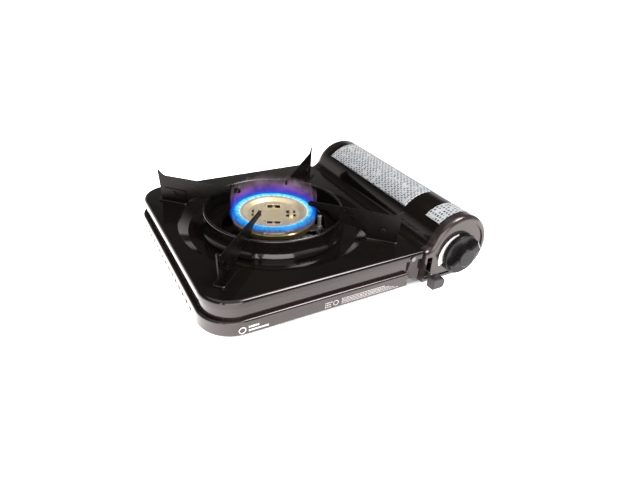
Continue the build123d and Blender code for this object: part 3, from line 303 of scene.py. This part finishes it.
def sticker_material(name, rows, dashes):
    """Silver film with rows of small dark dashes, with no letters."""
    material, tree, shader = new_material(name)
    shader.inputs["Metallic"].default_value = 0.15
    place = tree.nodes.new("ShaderNodeTexCoord")
    mapping = tree.nodes.new("ShaderNodeMapping")
    mapping.inputs["Scale"].default_value = (dashes, rows, 1)
    tree.links.new(place.outputs["UV"], mapping.inputs["Vector"])
    brick = tree.nodes.new("ShaderNodeTexBrick")
    brick.offset = 0.37
    settings = {
        "Scale": 1.0, "Brick Width": 1.0, "Row Height": 1.0, "Mortar Size": 0.22, "Mortar Smooth": 0.1,
        "Color1": (0, 0, 0, 1), "Color2": (0.35, 0.35, 0.35, 1), "Mortar": (1, 1, 1, 1),
    }
    for socket, value in settings.items():
        brick.inputs[socket].default_value = value
    tree.links.new(mapping.outputs["Vector"], brick.inputs["Vector"])
    blank = spread(tree, noise_of(tree, 130, 2), 0.0, 1.0, 0.55, 0.60)
    print_tone = mix_colours(tree, 1.0, brick.outputs["Color"], blank, "LIGHTEN")
    ink_and_film = [(0.2, (0.012, 0.012, 0.014)), (0.9, (0.40, 0.41, 0.42))]
    tree.links.new(ramp_of(tree, print_tone, ink_and_film), shader.inputs["Base Color"])
    haze = noise_of(tree, 40, 4)
    tree.links.new(spread(tree, haze, 0.38, 0.55), shader.inputs["Roughness"])
    add_bump(tree, shader, haze, 0.06, 0.4 * MM)
    return material


def lid_sticker(name, node, rows, dashes):
    """Thin film on the lid's round back, between the angles that the node's box gives."""
    low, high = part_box(node)
    low_angle = math.acos((high.x - HOUSING_X) / HOUSING_R)
    high_angle = math.acos(max(-1.0, (low.x - HOUSING_X) / HOUSING_R))
    steps_y, steps_a, inset = 60, 24, 0.4 * MM
    radius = HOUSING_R + 0.12 * MM
    lines = []
    for i in range(steps_y + 1):
        y = low.y + inset + (high.y - low.y - 2 * inset) * i / steps_y
        line = []
        for j in range(steps_a + 1):
            angle = low_angle + (high_angle - low_angle) * j / steps_a
            line.append((HOUSING_X + radius * math.cos(angle), y, HOUSING_Z + radius * math.sin(angle)))
        lines.append(line)
    made = add_object(name, skin_of_rows(lines), sticker_material(name, rows, dashes))
    thicken(made, 0.1 * MM, -1)
    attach(made, "lid")
    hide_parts(node)


lid_sticker("long_label", "long_sticker", 17, 26)
lid_sticker("short_label", "short_sticker", 9, 6)


# ---------------------------------------------------------------- prints on the panel and front wall

PALE_WHITE = ((0.80, 0.80, 0.80), (0.70, 0.70, 0.70))
PALE_GREY = ((0.62, 0.60, 0.59), (0.52, 0.50, 0.49))
MID_GREY = ((0.36, 0.33, 0.33), (0.28, 0.26, 0.26))


def add_print(name, bm, ink, colours, thickness):
    """Thin printed shape on the base, in ink of two near colours."""
    made = add_object(name, bm, moulded(ink, *colours, 0.5, 900, 0.1), smooth=False)
    thicken(made, thickness, 0)
    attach(made, "base")


def dial_print():
    """White wedge round the knob that thins as the flame gets lower."""
    knob_low, knob_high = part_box("knob")
    disc_r = (knob_high.z - knob_low.z) / 2
    recess_depth = 1.55 * MM
    face_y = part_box("front_panel")[0].y + recess_depth
    hidden, wide, narrowing = 2.5 * MM, 5.3 * MM, 5.0 * MM
    start, turn, steps = 205, 105, 40
    centre = Vector((HOUSING_X, SPINDLE.z))
    inner, outer = [], []
    for i in range(steps + 1):
        share = i / steps
        angle = math.radians(start - turn * share)
        direction = Vector((math.cos(angle), math.sin(angle)))
        inner.append(centre + direction * (disc_r - hidden))
        outer.append(centre + direction * (disc_r + wide - narrowing * share))
    bm = bmesh.new()
    bm.faces.new([bm.verts.new((x, face_y, z)) for x, z in inner + outer[::-1]])
    add_print("dial_wedge", bm, "dial_ink", PALE_WHITE, 0.12 * MM)


dial_print()


def add_bar(bm, low_x, high_x, low_z, high_z, y):
    """Flat bar on the front wall."""
    corners = [(low_x, low_z), (high_x, low_z), (high_x, high_z), (low_x, high_z)]
    bm.faces.new([bm.verts.new((x, y, z)) for x, z in corners])


def add_ring(bm, x, z, outer, inner, y):
    """Flat ring on the front wall."""
    steps = 28
    loops = []
    for radius in (inner, outer):
        angles = [2 * math.pi * k / steps for k in range(steps)]
        loops.append([bm.verts.new((x + radius * math.cos(a), y, z + radius * math.sin(a))) for a in angles])
    for k in range(steps):
        after = (k + 1) % steps
        bm.faces.new((loops[0][k], loops[0][after], loops[1][after], loops[1][k]))


def front_print(name, ink, colours, ring, blocks, seed):
    """Plain ring and rows of plain bars in place of printing on the tub's front wall.

    The ring is (x, z, radius) and a block (low x, high x, low z, rows, bar height, pitch of the
    rows, how much shorter each row is), all in mm.
    """
    wall_y = TUB_LOW.y - 0.01 * MM
    line, gap, shortest, longest = 0.9, 0.6, 1.2, 3.4
    dice = random.Random(seed)
    bm = bmesh.new()
    x, z, radius = ring
    add_ring(bm, x * MM, z * MM, radius * MM, (radius - line) * MM, wall_y)
    for low_x, high_x, low_z, rows, height, pitch, shrink in blocks:
        for row in range(rows):
            x, z = low_x, low_z + pitch * row
            while x < high_x - shrink * row:
                length = dice.uniform(shortest, longest)
                add_bar(bm, x * MM, (x + length) * MM, z * MM, (z + height) * MM, wall_y)
                x += length + gap
    add_print(name, bm, ink, colours, 0.05 * MM)


front_print(
    "left_print", "pale_ink", PALE_GREY, (-137.0, 17.2, 3.8),
    [(-130.5, -121, 18.2, 1, 2.2, 3, 0), (-130.5, -110, 14.2, 1, 2.0, 3, 0)], 4)
front_print(
    "middle_print", "grey_ink", MID_GREY, (-34, 17.2, 3.3),
    [(-47, -40, 13.9, 3, 1.2, 2.5, 0), (-27, 44, 13.7, 4, 1.0, 2.0, 6)], 7)


# ---------------------------------------------------------------- flame, which isn't part of the stove

LEAN_ANGLE = math.radians(70)
LEAN = Vector((math.cos(LEAN_ANGLE), math.sin(LEAN_ANGLE), 0))     # where the flame leans to

CYAN = {
    "colours": [
        (0.0, (0.85, 0.98, 1.0)), (0.18, (0.30, 0.86, 1.0)), (0.5, (0.01, 0.46, 0.95)),
        (0.8, (0.0, 0.14, 0.75)), (1.0, (0.0, 0.03, 0.4))],
    "opacity": [(0.0, 0.0), (0.08, 0.85), (0.45, 0.92), (0.75, 0.65), (1.0, 0.0)],
    "strength": 1.35, "tongues": 60, "patchy": 0.5, "front_share": 1.0,
}
BLUE = {
    "colours": [(0.0, (0.02, 0.40, 1.0)), (0.4, (0.01, 0.06, 0.85)), (1.0, (0.05, 0.01, 0.35))],
    "opacity": [(0.0, 0.85), (0.45, 0.65), (1.0, 0.0)],
    "strength": 0.8, "tongues": 40, "patchy": 0.45, "front_share": 0.6,
}
HAZE = {
    "colours": [
        (0.0, (0.06, 0.06, 0.80)), (0.35, (0.42, 0.16, 0.66)), (0.7, (0.62, 0.40, 0.58)),
        (1.0, (0.6, 0.5, 0.5))],
    "opacity": [(0.0, 0.15), (0.35, 0.50), (0.7, 0.30), (1.0, 0.0)],
    "strength": 0.85, "tongues": 9, "patchy": 0.8, "front_share": 0.0,
}


def flame_material(name, colours, opacity, strength, tongues, patchy, front_share):
    """Glow that is clear where it is thin; the UV map runs up the sheet and round the burner.

    tongues is how many streaks go round, patchy how uneven they are, and front_share how much of
    the glow is left on the side that the flame leans away from.
    """
    material = bpy.data.materials.new(name)
    material.use_nodes = True
    tree = material.node_tree
    tree.nodes.clear()
    place = tree.nodes.new("ShaderNodeTexCoord")
    split = tree.nodes.new("ShaderNodeSeparateXYZ")
    tree.links.new(place.outputs["UV"], split.inputs["Vector"])
    up_sheet = split.outputs["X"]
    mapping = tree.nodes.new("ShaderNodeMapping")
    mapping.inputs["Scale"].default_value = (1.2, tongues, 1)
    tree.links.new(place.outputs["UV"], mapping.inputs["Vector"])
    streaks = tree.nodes.new("ShaderNodeTexNoise")
    streaks.inputs["Scale"].default_value = 1.0
    streaks.inputs["Detail"].default_value = 2.0
    tree.links.new(mapping.outputs["Vector"], streaks.inputs["Vector"])
    fade = ramp_of(tree, up_sheet, [(height, (share, share, share)) for height, share in opacity])
    uneven = spread(tree, streaks.outputs["Fac"], 1.0 - patchy, 1.0, 0.35, 0.62)
    behind = vector_step(tree, place.outputs["Object"], "DOT_PRODUCT", LEAN)
    lead, run = 8 * MM, 28 * MM
    start = LEAN.x * BURNER.x + LEAN.y * BURNER.y - lead
    draught = spread(tree, behind.outputs["Value"], front_share, 1.0, start, start + run)
    glow = tree.nodes.new("ShaderNodeEmission")
    glow.inputs["Strength"].default_value = strength
    tree.links.new(ramp_of(tree, up_sheet, colours), glow.inputs["Color"])
    clear = tree.nodes.new("ShaderNodeBsdfTransparent")
    mix = tree.nodes.new("ShaderNodeMixShader")
    tree.links.new(multiply(tree, multiply(tree, fade, uneven), draught), mix.inputs["Fac"])
    tree.links.new(clear.outputs[0], mix.inputs[1])
    tree.links.new(glow.outputs[0], mix.inputs[2])
    output = tree.nodes.new("ShaderNodeOutputMaterial")
    tree.links.new(mix.outputs[0], output.inputs["Surface"])
    return material


def flame_sheet(name, profile, sway, seed, material):
    """Sheet turned about the burner's axis, with a sway that grows towards its edge.

    The profile is a curve through three (radius past the disc, height above the ports) in mm.
    """
    dice = random.Random(seed)
    steps, columns, lift = 14, 192, 0.6
    phases = [(dice.uniform(0, 2 * math.pi), wave) for wave in (5, 11, 17, 29)]
    (r0, z0), (r1, z1), (r2, z2) = [(DISC_R + r * MM, PORT_TOP_Z + z * MM) for r, z in profile]
    rows = []
    for i in range(steps + 1):
        t = i / steps
        radius = r0 * (1 - t) ** 2 + 2 * r1 * t * (1 - t) + r2 * t * t
        height = z0 * (1 - t) ** 2 + 2 * z1 * t * (1 - t) + z2 * t * t
        row = []
        for j in range(columns + 1):
            angle = 2 * math.pi * j / columns
            swing = sway * MM * t * sum(math.sin(wave * angle + phase) for phase, wave in phases)
            x = BURNER.x + (radius + swing) * math.cos(angle)
            y = BURNER.y + (radius + swing) * math.sin(angle)
            row.append((x, y, height + lift * swing))
        rows.append(row)
    made = add_object(name, skin_of_rows(rows), material)
    made.visible_shadow = False


def flame():
    """Bright cyan ring at the ports, blue outside it and a violet haze that rises behind."""
    cyan = flame_material("flame_cyan", **CYAN)
    blue = flame_material("flame_blue", **BLUE)
    haze = flame_material("flame_haze", **HAZE)
    flame_sheet("flame_ring", ((0.2, 0.2), (7.0, 3.6), (14.0, -2.5)), 0.15, 3, cyan)
    flame_sheet("flame_skirt", ((3.0, -0.6), (11.0, 0.5), (13.5, 7.0)), 0.25, 5, blue)
    flame_sheet("flame_collar", ((6.0, 0.5), (13.0, 4.0), (11.0, 15.0)), 0.35, 6, blue)
    flame_sheet("flame_veil", ((8.0, 2.0), (15.0, 9.0), (9.0, 27.0)), 0.7, 8, haze)
    flame_sheet("flame_plume", ((6.0, 2.0), (10.0, 11.0), (4.0, 25.0)), 0.7, 9, haze)


flame()


# ---------------------------------------------------------------- floor, light and camera


def painted_shadow_mask(tree, place):
    """Glow mask, 0 under the stove and 1 beside it: a painted shadow on the glowing floor underneath the
    stove.
    """
    corner = Vector((TUB_CORNER_R, TUB_CORNER_R, 0))
    centre, half = (TUB_LOW + TUB_HIGH) / 2, (TUB_HIGH - TUB_LOW) / 2
    steps = [
        ("SUBTRACT", centre), ("ABSOLUTE", None), ("SUBTRACT", half - corner),
        ("MAXIMUM", Vector((0, 0, 0))), ("MULTIPLY", Vector((1, 1, 0)))]
    value = place
    for operation, operand in steps:
        value = vector_step(tree, value, operation, operand).outputs["Vector"]
    shadow_inset, shadow_end = 16 * MM, 5 * MM
    reach = vector_step(tree, value, "LENGTH").outputs["Value"]
    return spread(tree, reach, 0.0, 1.0, TUB_CORNER_R - shadow_inset, TUB_CORNER_R - shadow_end)


def floor():
    """Plain pale floor that glows, more so on the side away from the canister, with the glow cut away under
    the stove as a painted shadow.
    """
    material, tree, shader = new_material("floor_white")
    tones = [(0.2, (0.91, 0.91, 0.91)), (0.8, (0.93, 0.93, 0.93))]
    tree.links.new(ramp_of(tree, noise_of(tree, 3, 3), tones), shader.inputs["Base Color"])
    shader.inputs["Roughness"].default_value = 0.7
    shader.inputs["Specular IOR Level"].default_value = 0.2
    shader.inputs["Emission Color"].default_value = (1.0, 0.995, 0.99, 1.0)
    place = tree.nodes.new("ShaderNodeTexCoord").outputs["Object"]
    split = tree.nodes.new("ShaderNodeSeparateXYZ")
    tree.links.new(place, split.inputs["Vector"])
    far_glow, near_glow = 3.0, 1.5
    start, end = TUB_LOW.x - 10 * MM, TUB_LOW.x + 60 * MM
    glow = spread(tree, split.outputs["X"], far_glow, near_glow, start, end)
    # painted shadow: the floor's glow is multiplied down to nothing under the stove
    tree.links.new(multiply(tree, glow, painted_shadow_mask(tree, place)), shader.inputs["Emission Strength"])
    bm = bmesh.new()
    radii, sides = [0.6, 2, 6, 20, 80], 64
    angles = [2 * math.pi * k / sides for k in range(sides)]
    centre = bm.verts.new((0, 0, 0))
    loops = [[bm.verts.new((r * math.cos(a), r * math.sin(a), 0)) for a in angles] for r in radii]
    for k in range(sides):
        after = (k + 1) % sides
        bm.faces.new((centre, loops[0][k], loops[0][after]))
        for inner, outer in zip(loops, loops[1:]):
            bm.faces.new((inner[k], outer[k], outer[after], inner[after]))
    made = add_object("floor", bm, material)


def studio_sky():
    """Soft studio light: bright overhead, dim between, pale at the horizon."""
    world = bpy.data.worlds.new("studio")
    bpy.context.scene.world = world
    world.use_nodes = True
    tree = world.node_tree
    background = tree.nodes["Background"]
    place = tree.nodes.new("ShaderNodeTexCoord")
    split = tree.nodes.new("ShaderNodeSeparateXYZ")
    tree.links.new(place.outputs["Generated"], split.inputs["Vector"])
    pale, dusk, dim, bright = 0.20, 0.06, 0.013, 0.30
    strength = 4.2
    levels = [(0.0, pale), (0.20, pale), (0.38, dusk), (0.45, dim), (0.76, dim), (0.83, bright)]
    colour = ramp_of(tree, split.outputs["Z"], [(height, (level, level, level)) for height, level in levels])
    tree.links.new(colour, background.inputs["Color"])
    background.inputs["Strength"].default_value = strength


def softbox(name, azimuth, elevation, width, height, power):
    """Area light 2 m away that faces the stove from a bearing, in degrees clockwise from +Y."""
    distance = 2.0
    data = bpy.data.lights.new(name, "AREA")
    data.shape = "RECTANGLE"
    data.size, data.size_y = width, height
    data.energy = power
    made = bpy.data.objects.new(name, data)
    bpy.context.scene.collection.objects.link(made)
    a, e = math.radians(azimuth), math.radians(elevation)
    direction = Vector((math.sin(a) * math.cos(e), math.cos(a) * math.cos(e), math.sin(e)))
    turn = direction.to_track_quat("Z", "Y").to_matrix().to_4x4()
    made.matrix_world = Matrix.Translation(direction * distance) @ turn
    made.visible_camera = False


def photo_camera():
    """Camera at the photograph's viewing angle."""
    place, lens, sensor_width = (-0.2713, -0.4929, 0.3410), 29.0, 36.0
    yaw, pitch, roll = 0.537, 0.5274, 0.062
    forward = Vector((math.sin(yaw) * math.cos(pitch), math.cos(yaw) * math.cos(pitch), -math.sin(pitch)))
    level_right = Vector((math.cos(yaw), -math.sin(yaw), 0))
    level_up = level_right.cross(forward)
    right = level_right * math.cos(roll) + level_up * math.sin(roll)
    up = level_up * math.cos(roll) - level_right * math.sin(roll)
    data = bpy.data.cameras.new("camera")
    data.sensor_width = sensor_width
    data.lens = lens
    made = bpy.data.objects.new("camera", data)
    bpy.context.scene.collection.objects.link(made)
    turn = Matrix((right, up, -forward)).transposed().to_4x4()
    made.matrix_world = Matrix.Translation(place) @ turn
    bpy.context.scene.camera = made


floor()
studio_sky()
softbox("top_box", 129, 62, 0.9, 0.9, 55)
softbox("front_box", 198, 20, 1.6, 1.3, 34)
softbox("front_left_box", 232, 20, 0.18, 1.3, 4)
photo_camera()
bpy.context.scene.view_settings.view_transform = "Standard"
